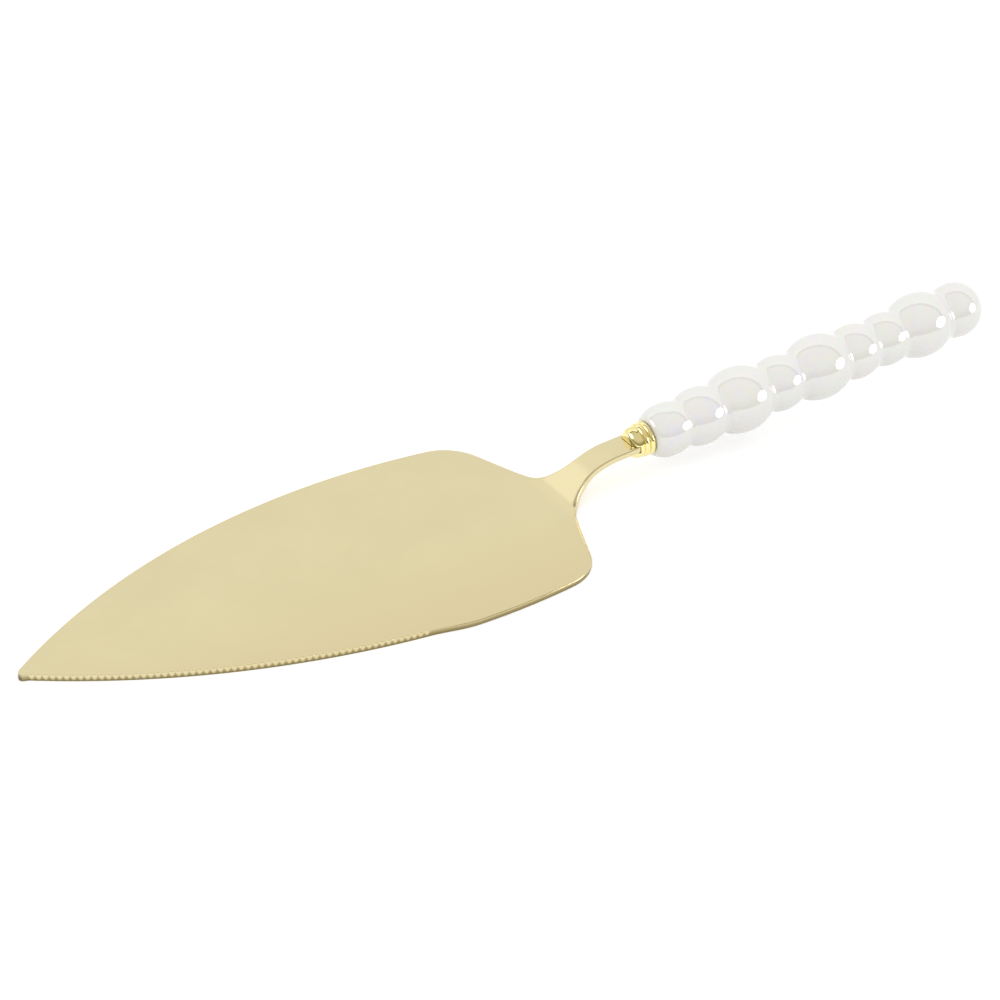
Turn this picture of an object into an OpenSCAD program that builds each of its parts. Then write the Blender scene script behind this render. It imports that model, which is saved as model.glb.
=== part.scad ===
// Cake server: a leaf-shaped blade with one fluted edge, a slotted ferrule
// and a ceramic handle of nine fused beads.
// Frame: origin on the blade's underside, on its centre line, under its widest section.
// +X runs from the point to the handle, +Z is up when the blade lies flat.
// The -Y long edge is the fluted one.

/* [Blade] */
// Distance from the widest section to the point
point_len = 100.6; // [70:1:130]
// Greatest width
blade_w = 70.8; // [50:1:90]
// Thickness of the flat blade
blade_t = 1.5; // [1:0.1:2.5]
// Radius of the rounded point
tip_r = 2.6; // [1.5:0.1:5]
// Distance from the widest section to where the two rear edges would meet
heel_len = 43.6; // [40:1:60]
// Lean of the rear edges from square, in degrees
rear_rake = 21; // [5:1:35]
// Radius of the two rear corners
heel_r = 12.8; // [5:0.5:18]
// Radius of the hollow where the rear edge runs into the neck
root_r = 11.5; // [3:0.5:14]

/* [Fluted edge] */
// Length of the fluted stretch, from the point back
fluted_len = 85; // [40:1:95]
// Spacing of the flutes along the edge
flute_pitch = 1.56; // [1.5:0.02:3]
// Radius of one flute
flute_r = 0.9; // [0.6:0.02:1.2]
// Depth of the first flute at half the blade's thickness
flute_depth = 0.17; // [0.1:0.01:0.3]
// Depth of the last flute at half the blade's thickness
last_flute_depth = 0.11; // [0.08:0.01:0.3]
// Lean of the flutes from upright, in degrees
flute_lean = 13; // [5:1:25]
// How far the edge is ground back near the point
grind_front = 1.2; // [0:0.05:1.4]
// How far the edge is ground back at the end of the flutes
grind_back = 1.6; // [0:0.05:2.5]
// Extra grinding at the middle of the fluted stretch
grind_swell = 0.85; // [0:0.05:2]
// Length over which the grinding dies out behind the flutes
grind_run_out = 13; // [3:1:20]

/* [Neck and tang] */
// Distance from the widest section to the start of the rise
bend_start = 37.6; // [30:0.2:39]
// Middle radius of the lower, upward bend
lower_bend_r = 8; // [5:0.5:15]
// Middle radius of the upper bend, back towards level
upper_bend_r = 20; // [10:0.5:30]
// Straight ramp between the two bends
ramp_len = 5.4; // [1:0.1:8]
// Steepest rise of the neck, in degrees
rise = 34; // [20:1:45]
// Rise of the handle, in degrees
handle_tilt = 4.7; // [0:0.1:12]
// Width of the neck
neck_w = 7.5; // [6:0.1:14]
// Thickness of the neck and tang
neck_t = 1.6; // [1.2:0.1:2.6]
// Straight neck in front of the ferrule
shank_len = 4.9; // [1:0.1:20]
// Width of the tang inside the handle
tang_w = 4.4; // [3:0.1:5]
// Length of the tang behind its shoulder
tang_len = 52; // [20:1:60]

/* [Ferrule] */
// Radius of the rounded nose
nose_r = 3.95; // [3.8:0.05:4.2]
// Length of the nose
nose_len = 2.8; // [2.6:0.05:6]
// Rounding of the nose's front rim
nose_round = 2; // [0.5:0.1:2]
// Depth of the open slot that takes the neck
slot_depth = 1.6; // [1:0.1:2]
// Radius of the two grooves beside the bead ring
waist_r = 3.7; // [3.4:0.05:3.8]
// Greatest radius of the bead ring
ring_r = 4.3; // [4:0.05:6.5]
// Length of the bead ring
ring_len = 1.6; // [1.4:0.05:4]
// Greatest radius of the rear collar
collar_r = 4.35; // [4.05:0.05:4.8]
// Length of the rear collar
collar_len = 1.5; // [1:0.1:4]
// Radius of the spigot inside the handle
spigot_r = 2.95; // [2.7:0.05:3.1]
// Length of the spigot inside the handle
spigot_len = 6; // [3:0.5:12]

/* [Handle] */
// Diameter of the three large beads
large_bead_d = 17; // [15:0.1:22]
// Distance from the handle's front face to its far end
handle_len = 102.4; // [90:1:120]
// Radius of the glazed hollow between two beads
groove_r = 2.4; // [0.5:0.1:8]
// Radius of a bead's side, from groove to groove, as a share of its own radius: 1 is a ball
bead_belly_share = 1.37; // [1:0.01:1.8]
// Straight length in the first bead, which is a little drawn out
first_bead_stretch = 1.1; // [0:0.1:2]
// Radius of the blind bore
bore_r = 3.2; // [3.15:0.05:4]
// Depth of the blind bore
bore_depth = 62; // [60:1:80]
// Rounding at the rim of the front face
rim_r = 0.5; // [0.2:0.1:0.8]

/* [Fits] */
// Clearance between the neck or tang and the ferrule's slots
slot_gap = 0.12; // [0.02:0.01:0.2]
// Glue line between the ferrule's collar and the handle
glue_line = 0.1; // [0.05:0.01:0.3]
// Clearance that is left round the hardened filler
filler_gap = 0.05; // [0.02:0.01:0.2]

/* [Hidden] */

// How far a cutting solid runs past what it cuts
overrun = blade_t;
// Numbers of steps along the curves of the outlines
side_steps = 84;
corner_steps = 14;
bead_steps = 12;

// Each bead's radius as a share of a large bead's radius, from the ferrule to the end
bead_size_shares = [0.79, 0.865, 0.994, 0.836, 0.985, 0.835, 0.809, 0.987, 0.846];
// Each bead's centre as a share of the handle's length, from its front face
bead_place_shares = [0.0573, 0.1486, 0.2653, 0.3825, 0.5021, 0.6136, 0.7076, 0.8143];
large_r = large_bead_d / 2;
bead_count = len(bead_size_shares);
bead_r = [for (share = bead_size_shares) share * large_r];
// The last bead's centre follows from its radius, so that the handle ends at its length
bead_s = concat([for (share = bead_place_shares) share * handle_len], [handle_len - bead_r[bead_count - 1]]);

// The long side is one arc, from the point through the widest section to the heel
half_w = blade_w / 2;
tip_x = tip_r - point_len;
side_r = (tip_x * tip_x + half_w * half_w - tip_r * tip_r) / (2 * (half_w - tip_r));
side_c = [0, half_w - side_r];
tip_angle = atan2(-side_c.y, tip_x);

// The rear edge is a line at rear_square from the origin, along its outward normal
rear_normal = [cos(rear_rake), sin(rear_rake)];
rear_along = [-sin(rear_rake), cos(rear_rake)];
rear_square = heel_len * cos(rear_rake);
heel_square = rear_square - heel_r;
heel_reach = side_r - heel_r;
heel_off = heel_square - side_c.y * sin(rear_rake);
heel_up = side_c.y * cos(rear_rake) + sqrt(heel_reach * heel_reach - heel_off * heel_off);
heel_c = heel_square * rear_normal + heel_up * rear_along;
heel_angle = atan2(heel_c.y - side_c.y, heel_c.x);

// The hollow at the neck's root touches the rear edge and the neck's side
root_y = neck_w / 2 + root_r;
root_c = [(rear_square + root_r - root_y * sin(rear_rake)) / cos(rear_rake), root_y];

// The neck's middle line: flat, lower bend, ramp, upper bend, then the handle's axis
lower_end = [bend_start + lower_bend_r * sin(rise), blade_t / 2 + lower_bend_r * (1 - cos(rise))];
ramp_end = lower_end + ramp_len * [cos(rise), sin(rise)];
upper_c = ramp_end + upper_bend_r * [sin(rise), -cos(rise)];
axis_dir = [cos(handle_tilt), sin(handle_tilt)];
axis_start = upper_c + upper_bend_r * [-sin(handle_tilt), cos(handle_tilt)];
ferrule_start = axis_start + shank_len * axis_dir;

// Places along the axis, from the ferrule's nose
ring_start = nose_len;
collar_start = ring_start + ring_len;
collar_end = collar_start + collar_len;
shoulder_at = slot_depth - slot_gap;
tang_end = shoulder_at + tang_len;
handle_at = collar_end + glue_line;

// Degrees along the side arc from one flute to the next
flute_step = flute_pitch / side_r * 180 / PI;
flute_end_angle = acos((fluted_len - point_len) / side_r);
flute_count = floor((tip_angle - flute_end_angle) / flute_step);
// Place of the first flute behind the rounded point, as a share of the spacing
first_flute_share = 0.52;

// A point at a radius and an angle from a centre
function polar(c, r, a) = c + r * [cos(a), sin(a)];

// Points along an arc, both ends included
function arc(c, r, a0, a1, steps) = [for (i = [0:steps]) polar(c, r, a0 + (a1 - a0) * i / steps)];

// Smooth step from 0 to 1
function ease(t) = t <= 0 ? 0 : t >= 1 ? 1 : t * t * (3 - 2 * t);

// How far the edge is ground back, at a distance from the point
function grind(x) =
    let (t = min(x / fluted_len, 1))
    let (depth = grind_front + (grind_back - grind_front) * t + grind_swell * 4 * t * (1 - t))
    (1 - ease((x - fluted_len) / grind_run_out)) * depth;

// A point of the side arc, ground back or not
function side_point(a, ground) = polar(side_c, side_r - (ground ? grind(side_r * cos(a) + point_len) : 0), a);

// The rounded point, whose radius shrinks on the ground side until it meets the ground edge
function point_arc(ground) = [for (i = [0:corner_steps]) let (share = i / corner_steps)
    polar([tip_x, 0], tip_r - (ground ? grind_front * ease(share) : 0), 180 + (tip_angle - 180) * share)];

// Half of the plan outline on the +Y side, from the point to the end of the tang
function half_outline(ground) = concat(
    point_arc(ground),
    [for (i = [1:side_steps]) side_point(tip_angle + (heel_angle - tip_angle) * i / side_steps, ground)],
    [for (i = [1:corner_steps]) polar(heel_c, heel_r, heel_angle + (rear_rake - heel_angle) * i / corner_steps)],
    arc(root_c, root_r, rear_rake + 180, 270, corner_steps),
    [[ferrule_start.x + tang_end + overrun, neck_w / 2]]
);

// The plan outline: the -Y half is mirrored and leaves out the point's own apex
module plan() {
    upper = half_outline(false);
    lower = [for (p = half_outline(true)) [p.x, -p.y]];
    polygon(concat(upper, [for (i = [len(lower) - 1:-1:1]) lower[i]]));
}

// Stations [x, z, slope, thickness] along the middle line
lower_steps = 12;
upper_steps = 16;
middle_line = concat(
    [[-point_len - overrun, blade_t / 2, 0, blade_t]],
    [for (i = [0:lower_steps]) let (a = rise * i / lower_steps)
        [bend_start + lower_bend_r * sin(a), blade_t / 2 + lower_bend_r * (1 - cos(a)), a,
         blade_t + (neck_t - blade_t) * i / lower_steps]],
    [for (i = [0:upper_steps]) let (a = rise + (handle_tilt - rise) * i / upper_steps)
        [upper_c.x - upper_bend_r * sin(a), upper_c.y + upper_bend_r * cos(a), a, neck_t]],
    [[ferrule_start.x + tang_end * axis_dir.x, ferrule_start.y + tang_end * axis_dir.y, handle_tilt, neck_t]]
);

// A station moved square to the slope by half the thickness, up (1) or down (-1)
function skin(station, side) =
    [station[0], station[1]] + side * station[3] / 2 * [-sin(station[2]), cos(station[2])];

// The side view of the sheet, from the point to the end of the tang
module side_view() {
    top = [for (station = middle_line) skin(station, 1)];
    bottom = [for (station = middle_line) skin(station, -1)];
    polygon(concat(top, [for (i = [len(bottom) - 1:-1:0]) bottom[i]]));
}

// Places its children along the handle's axis, which becomes their +Z
module on_axis(along = 0) {
    translate([ferrule_start.x, 0, ferrule_start.y])
        rotate([0, 90 - handle_tilt, 0])
            translate([0, 0, along])
                children();
}

// A flat bar along the axis, as wide as width and as thick as depth
module bar(from, to, width, depth) {
    on_axis(from)
        translate([-depth / 2, -width / 2, 0])
            cube([depth, width, to - from]);
}

// One flute, cut to a depth into the -Y edge at an angle of the side arc
module flute(a, depth) {
    edge = side_point(a, true);
    translate([edge.x, -edge.y, blade_t / 2])
        rotate([0, 0, -a])
            translate([flute_r / cos(flute_lean) - depth, 0, 0])
                rotate([0, -flute_lean, 0])
                    cylinder(h = 2 * (blade_t + flute_r), r = flute_r, center = true, $fn = 24);
}

// Blade, neck and tang: one stamped sheet
module blade() {
    height = ferrule_start.y + tang_end;
    color([0.87, 0.82, 0.64])
        difference() {
            intersection() {
                translate([0, 0, -overrun])
                    linear_extrude(height = height + 2 * overrun)
                        plan();
                rotate([90, 0, 0])
                    linear_extrude(height = blade_w + 2 * overrun, center = true)
                        side_view();
            }
            for (side = [-1, 1])
                on_axis(shoulder_at)
                    translate([-neck_t, side * (tang_w + neck_w) / 2 - neck_w / 2, 0])
                        cube([2 * neck_t, neck_w, tang_len + overrun]);
            for (i = [0:flute_count])
                let (depth = flute_depth + (last_flute_depth - flute_depth) * i / flute_count)
                    flute(tip_angle - (i + first_flute_share) * flute_step, depth);
        }
}

// Arc of a swelling ring between two grooves: from and to on the axis, waist and crest as radii
function swell(from, to, waist, crest) =
    let (half = (to - from) / 2, rise_by = crest - waist)
    let (r = (half * half + rise_by * rise_by) / (2 * rise_by), spread = atan2(half, r - rise_by))
    arc([crest - r, from + half], r, -spread, spread, corner_steps);

// Ferrule: rounded nose, bead ring, collar and a spigot that enters the handle
module ferrule() {
    profile = concat(
        [[0, 0]],
        arc([nose_r - nose_round, nose_round], nose_round, -90, 0, corner_steps),
        [[nose_r, nose_len - (nose_r - waist_r)]],
        swell(ring_start, collar_start, waist_r, ring_r),
        swell(collar_start, collar_end, waist_r, collar_r),
        [[spigot_r, collar_end], [spigot_r, collar_end + spigot_len], [0, collar_end + spigot_len]]
    );
    slot_t = neck_t + 2 * slot_gap;
    color([0.93, 0.8, 0.42])
        difference() {
            on_axis()
                rotate_extrude($fn = 96)
                    polygon(profile);
            bar(-overrun, slot_depth, 2 * ring_r, slot_t);
            bar(0, collar_end + spigot_len + overrun, tang_w + 2 * slot_gap, slot_t);
        }
}

// A bead's side is an arc whose centre lies beyond the axis, so that the bead is a little barrel-shaped
belly_r = [for (r = bead_r) r * bead_belly_share];
belly_v = [for (r = bead_r) r - r * bead_belly_share];

// Where the hollow between bead i and the next one has its centre, seen from the centre of bead i's side
function hollow(i) =
    let (gap = [bead_s[i + 1] - bead_s[i], belly_v[i + 1] - belly_v[i]])
    let (near = belly_r[i] + groove_r, far = belly_r[i + 1] + groove_r)
    let (along = (norm(gap) * norm(gap) + near * near - far * far) / (2 * norm(gap)))
    let (up = sqrt(near * near - along * along))
    [(along * gap[0] - up * gap[1]) / norm(gap), (along * gap[1] + up * gap[0]) / norm(gap)];

// Angle at which bead i ends in its hollow, and at which the next bead leaves it
function leave_angle(i) = atan2(hollow(i)[1], hollow(i)[0]);
function enter_angle(i) =
    atan2(hollow(i)[1] - belly_v[i + 1] + belly_v[i], hollow(i)[0] - bead_s[i + 1] + bead_s[i]);

// Arc round a centre at the place s and the radius v, as [radius, place] points, angles from the axis
function bead_arc(s, v, r, a0, a1) = [for (i = [0:bead_steps]) let (a = a0 + (a1 - a0) * i / bead_steps)
    [v + r * sin(a), s + r * cos(a)]];

// Arc of the hollow between bead i and the next one
function hollow_arc(i) =
    let (h = hollow(i), a0 = leave_angle(i) + 180, a1 = enter_angle(i) + 180)
    [for (j = [1:bead_steps - 1]) let (a = a0 + (a1 - a0) * j / bead_steps)
        [belly_v[i] + h[1] + groove_r * sin(a), bead_s[i] + h[0] + groove_r * cos(a)]];

// Outline of the handle as [radius, distance from the front face]; its two ends are ball-shaped
front_s = bead_s[0] - first_bead_stretch;
front_angle = acos(-front_s / bead_r[0]);
front_r = bead_r[0] * sin(front_angle);
last_bead = bead_count - 1;
cap_steps = 12;
bead_outline = concat(
    bead_arc(front_s, 0, bead_r[0], acos((rim_r - front_s) / bead_r[0]), 90),
    bead_arc(bead_s[0], belly_v[0], belly_r[0], 90, leave_angle(0)),
    [for (i = [1:last_bead])
        let (a1 = i < last_bead ? leave_angle(i) : 90)
        each concat(hollow_arc(i - 1), bead_arc(bead_s[i], belly_v[i], belly_r[i], enter_angle(i - 1), a1))],
    [for (i = [1:cap_steps]) let (a = 90 - 90 * i / cap_steps)
        [bead_r[last_bead] * sin(a), bead_s[last_bead] + bead_r[last_bead] * cos(a)]]
);

// Handle: nine fused ceramic beads with a blind bore
module handle() {
    color([0.95, 0.95, 0.94])
        on_axis(handle_at)
            difference() {
                rotate_extrude($fn = 96)
                    polygon(concat([[0, 0], [front_r - rim_r, 0]], bead_outline));
                translate([0, 0, -overrun])
                    cylinder(h = bore_depth + overrun, r = bore_r, $fn = 48);
            }
}

// Hardened filler that holds the tang in the bore
module filler() {
    from = collar_end + spigot_len + filler_gap;
    to = handle_at + bore_depth - filler_gap;
    color([0.75, 0.73, 0.68])
        difference() {
            on_axis(from)
                cylinder(h = to - from, r = bore_r - filler_gap, $fn = 48);
            bar(from - overrun, tang_end + filler_gap, tang_w + 2 * filler_gap, neck_t + 2 * filler_gap);
        }
}

blade();
ferrule();
handle();
filler();
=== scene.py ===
# %% [markdown]
# # A cake server with a satin blade and a pearl-glazed handle
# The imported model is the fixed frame: it holds every size and place.
# This lesson dresses it. Three of its four nodes get a finer surface of their own,
# worked out as arrays, and the fourth, which is hidden inside the handle, keeps its
# mesh and only gets a material.
# All lengths below are written in millimetres, as on a drawing, and times MM.

# %% Load the frame
import math
import bpy
import numpy as np
from mathutils import Matrix, Vector


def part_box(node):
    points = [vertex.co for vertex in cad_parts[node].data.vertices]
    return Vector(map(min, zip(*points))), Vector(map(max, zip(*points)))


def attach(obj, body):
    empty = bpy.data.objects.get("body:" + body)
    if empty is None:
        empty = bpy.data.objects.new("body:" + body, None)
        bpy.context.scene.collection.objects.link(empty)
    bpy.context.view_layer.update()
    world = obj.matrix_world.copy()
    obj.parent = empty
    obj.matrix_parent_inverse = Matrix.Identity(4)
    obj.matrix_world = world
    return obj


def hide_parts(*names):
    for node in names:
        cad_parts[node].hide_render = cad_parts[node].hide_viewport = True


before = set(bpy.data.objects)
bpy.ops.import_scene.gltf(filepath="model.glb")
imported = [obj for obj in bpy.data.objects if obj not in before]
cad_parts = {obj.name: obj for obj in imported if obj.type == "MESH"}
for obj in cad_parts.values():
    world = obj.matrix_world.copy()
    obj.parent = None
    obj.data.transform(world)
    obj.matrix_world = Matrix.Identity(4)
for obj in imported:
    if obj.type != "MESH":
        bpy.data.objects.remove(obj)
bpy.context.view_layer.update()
MM = 0.001

# %% [markdown]
# ## Helpers for meshes
# A surface here is a grid of points, rows by columns, that closes on itself around the
# rows. One helper turns such a grid into a mesh: it merges the points that fall together
# at a pole, writes the points and the faces, and shades the mesh smooth.

# %% Turn a grid of points into a closed mesh
def grid_mesh(name, points, cap_last=False, marks=None):
    """A mesh from an array of shape (columns, rows, 3), in millimetres, closed around the rows.

    Column i and row j are joined to column i + 1 and row j + 1, the last row to row 0.
    Points that fall together become one, and faces that shrink to a line are left out.
    The outside is on the side of (next column) x (next row).
    """
    columns, rows, _ = points.shape
    corner = np.arange(columns * rows).reshape(columns, rows)
    beside = np.roll(corner, -1, axis=1)
    quads = np.stack([corner[:-1], corner[1:], beside[1:], beside[:-1]], axis=-1).reshape(-1, 4)
    flat = points.reshape(-1, 3)
    _, first, place = np.unique(np.round(flat, 4), axis=0, return_index=True, return_inverse=True)
    place = place.reshape(-1)
    quads = place[quads]
    doubled = quads == np.roll(quads, -1, axis=1)
    full = quads[doubled.sum(1) == 0]
    pinched = doubled.sum(1) == 1
    triangles = quads[pinched][~doubled[pinched]].reshape(-1, 3)
    faces = full.tolist() + triangles.tolist()
    if cap_last:
        faces.append(place[corner[-1][::-1]].tolist())
    mesh = bpy.data.meshes.new(name)
    mesh.from_pydata((flat[first] * MM).tolist(), [], faces)
    mesh.polygons.foreach_set("use_smooth", np.ones(len(mesh.polygons), bool))
    for mark, values in (marks or {}).items():
        layer = mesh.attributes.new(mark, "FLOAT", "POINT")
        layer.data.foreach_set("value", values.reshape(-1)[first].astype(np.float32))
    mesh.update()
    print(f"{name}: {len(mesh.vertices)} points, {len(mesh.polygons)} faces")
    return mesh


def add_piece(name, mesh, node):
    """Puts a mesh into the scene as the piece that stands for a node of the frame."""
    piece = bpy.data.objects.new(name, mesh)
    bpy.context.scene.collection.objects.link(piece)
    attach(piece, "root")
    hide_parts(node)
    return piece

# %% Arcs and smooth steps
def arc(centre, radius, start, end, count):
    """Points of an arc: centre + radius (cos a, sin a), with a even from start to end, in degrees."""
    a = np.radians(np.linspace(start, end, count))
    return np.stack([centre[0] + radius * np.cos(a), centre[1] + radius * np.sin(a)], axis=1)


def ease(t):
    """Smooth step: 3 t squared minus 2 t cubed, with t held between 0 and 1."""
    t = np.clip(t, 0, 1)
    return t * t * (3 - 2 * t)

# %% [markdown]
# ## The blade's outline
# The blade is stamped from one sheet. Its plan is a few arcs: a small one at the point,
# one long arc through the widest section, a corner arc at the heel, a straight rear edge
# and a hollow that runs into the neck. The far half is computed once, and the fluted
# half is the same outline ground back by a fraction of a millimetre.

# %% The blade's driving sizes, in millimetres
POINT_LEN = 100.6
BLADE_W = 70.8
BLADE_T = 1.5
TIP_R = 2.6
HEEL_LEN = 43.6
REAR_RAKE = 21
HEEL_R = 12.8
ROOT_R = 11.5
NECK_W = 7.5
NECK_T = 1.6

# %% Centres and angles that follow from them
def outline_centres():
    """Centres, radii and angles of the outline's arcs, each tangent to its neighbours.

    The side arc passes the widest section and touches the tip circle's side. The heel
    circle touches the side arc from inside and the rear line. The root circle touches
    the rear line and the neck's side from outside.
    """
    half_w = BLADE_W / 2
    tip_x = TIP_R - POINT_LEN
    side_r = (tip_x ** 2 + half_w ** 2 - TIP_R ** 2) / (2 * (half_w - TIP_R))
    side_y = half_w - side_r
    rake = math.radians(REAR_RAKE)
    square = HEEL_LEN * math.cos(rake)
    along = np.array([-math.sin(rake), math.cos(rake)])
    normal = np.array([math.cos(rake), math.sin(rake)])
    off = square - HEEL_R - side_y * math.sin(rake)
    up = side_y * math.cos(rake) + math.sqrt((side_r - HEEL_R) ** 2 - off ** 2)
    heel = (square - HEEL_R) * normal + up * along
    root_y = NECK_W / 2 + ROOT_R
    root = np.array([(square + ROOT_R - root_y * math.sin(rake)) / math.cos(rake), root_y])
    return {
        "tip": np.array([tip_x, 0.0]),
        "side": np.array([0.0, side_y]),
        "side_r": side_r,
        "tip_angle": math.degrees(math.atan2(-side_y, tip_x)),
        "heel": heel,
        "heel_angle": math.degrees(math.atan2(heel[1] - side_y, heel[0])),
        "root": root,
    }


plan = outline_centres()
print("side radius", round(plan["side_r"], 2), "mm, tip angle", round(plan["tip_angle"], 2), "degrees")

# %% [markdown]
# ## The sheet's side view
# Behind the blade the sheet bends up, then back, and runs on as the tang along the
# handle's axis. The middle of the sheet is a function of x made of two arcs and two
# straight lines, and a point of the sheet sits square to that line.

# %% The side view's driving sizes
BEND_START = 37.6
LOWER_BEND_R = 8
UPPER_BEND_R = 20
RAMP_LEN = 5.4
RISE = 34
HANDLE_TILT = 4.7
SHANK_LEN = 4.9
TANG_W = 4.4
TANG_LEN = 52
SLOT_DEPTH = 1.6
SLOT_GAP = 0.12
SHOULDER_AT = SLOT_DEPTH - SLOT_GAP

rise, tilt = math.radians(RISE), math.radians(HANDLE_TILT)
lower_end = np.array([
    BEND_START + LOWER_BEND_R * math.sin(rise),
    BLADE_T / 2 + LOWER_BEND_R * (1 - math.cos(rise)),
])
ramp_end = lower_end + RAMP_LEN * np.array([math.cos(rise), math.sin(rise)])
upper_c = ramp_end + UPPER_BEND_R * np.array([math.sin(rise), -math.cos(rise)])
axis_dir = np.array([math.cos(tilt), math.sin(tilt)])
axis_start = upper_c + UPPER_BEND_R * np.array([-math.sin(tilt), math.cos(tilt)])
ferrule_start = axis_start + SHANK_LEN * axis_dir
print("the ferrule starts at x, z =", ferrule_start.round(3), "mm")

# %% Place points of the flat sheet on the bent one
def middle_line(x):
    """Height, slope in radians and thickness of the sheet's middle line at x.

    Flat up to the bend; a rising arc with sin a = (x - start) / radius; a straight ramp;
    a falling arc with sin a = (centre - x) / radius; then straight along the tilt.
    """
    lower = np.arcsin(np.clip((x - BEND_START) / LOWER_BEND_R, 0, math.sin(rise)))
    upper = np.arcsin(np.clip((upper_c[0] - x) / UPPER_BEND_R, math.sin(tilt), math.sin(rise)))
    slope = np.where(x < ramp_end[0], lower, upper)
    rising = BLADE_T / 2 + LOWER_BEND_R * (1 - np.cos(lower))
    ramp = lower_end[1] + (x - lower_end[0]) * math.tan(rise)
    falling = upper_c[1] + UPPER_BEND_R * np.cos(upper)
    straight = axis_start[1] + (x - axis_start[0]) * math.tan(tilt)
    stretches = [x < lower_end[0], x < ramp_end[0], x < axis_start[0]]
    height = np.select(stretches, [rising, ramp, falling], straight)
    thickness = BLADE_T + (NECK_T - BLADE_T) * lower / rise
    return height, slope, np.where(x < ramp_end[0], thickness, NECK_T)


def bend(x, y, level):
    """Puts a flat point on the bent sheet: level goes from -1, the underside, to 1, the top."""
    height, slope, thickness = middle_line(x)
    lift = level * thickness / 2
    return np.stack([x - lift * np.sin(slope), y, height + lift * np.cos(slope)], axis=-1)

# %% [markdown]
# ## The fluted edge
# A shaped wheel grinds about fifty leaning flutes into one long edge. Each is part of a
# cylinder that leans a little inwards at the top, so the lands between them widen
# towards the underside, where the edge stays nearly straight. The last flutes are
# shallower than the first. The depth is a formula of the place along the edge and the
# height, so the flutes need no cutting tool: the wall is simply moved in by that much.

# %% The flutes' driving sizes
FLUTED_LEN = 85
FLUTE_PITCH = 1.56
FLUTE_R = 0.9
FLUTE_DEPTH = 0.17
LAST_FLUTE_DEPTH = 0.11
FLUTE_LEAN = 13
FIRST_FLUTE_SHARE = 0.52
GRIND_FRONT = 1.2
GRIND_BACK = 1.6
GRIND_SWELL = 0.85
GRIND_RUN_OUT = 13

flute_end_angle = math.degrees(math.acos((FLUTED_LEN - POINT_LEN) / plan["side_r"]))
fluted_arc = math.radians(plan["tip_angle"] - flute_end_angle) * plan["side_r"]
flute_count = int(fluted_arc // FLUTE_PITCH)
print(flute_count + 1, "flutes on an arc of", round(fluted_arc, 1), "mm")

# %% How far the edge is ground back, and how deep a flute is
def grind(x):
    """Ground-back depth at x: front + (back - front) t + swell 4 t (1 - t), dying out behind the flutes."""
    from_point = x + POINT_LEN
    t = np.clip(from_point / FLUTED_LEN, 0, 1)
    depth = GRIND_FRONT + (GRIND_BACK - GRIND_FRONT) * t + GRIND_SWELL * 4 * t * (1 - t)
    return depth * (1 - ease((from_point - FLUTED_LEN) / GRIND_RUN_OUT))


def flute_cut(along, height):
    """Depth of the flutes at an arc length behind the point and a height over the underside.

    At one height a leaning cylinder shows as an ellipse. Its middle lies at
    depth - r / cos(lean) + tan(lean) (height - half the thickness), and it reaches in by
    r / cos(lean) times the root of 1 - (distance from the flute's middle / r) squared.
    """
    lean = math.radians(FLUTE_LEAN)
    turn = along / FLUTE_PITCH - FIRST_FLUTE_SHARE + 0.5
    number = np.floor(turn)
    away = (turn - number - 0.5) * FLUTE_PITCH
    depth = FLUTE_DEPTH + (LAST_FLUTE_DEPTH - FLUTE_DEPTH) * number / flute_count
    reach = FLUTE_R / math.cos(lean)
    middle = depth - reach + math.tan(lean) * (height - BLADE_T / 2)
    cut = middle + reach * np.sqrt(np.clip(1 - (away / FLUTE_R) ** 2, 0, 1))
    inside = (turn > 0) & (turn < flute_count + 1)
    return np.where(inside, np.clip(cut, 0, None), 0)

# %% [markdown]
# ## The blade's surface
# Each column of the grid is one section of the sheet, from the fluted edge to the far
# edge and back along the underside. The columns stand close together along the flutes,
# and the rows close together where the edges are eased.

# %% Columns: both outlines and their outward normals
POINT_STEPS = 15
COLUMNS_PER_FLUTE = 14
SIDE_COLUMNS = 60
HEEL_COLUMNS = 30
REAR_COLUMNS = 16
ROOT_COLUMNS = 24
NECK_COLUMNS = 40
TANG_COLUMNS = 4


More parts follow.
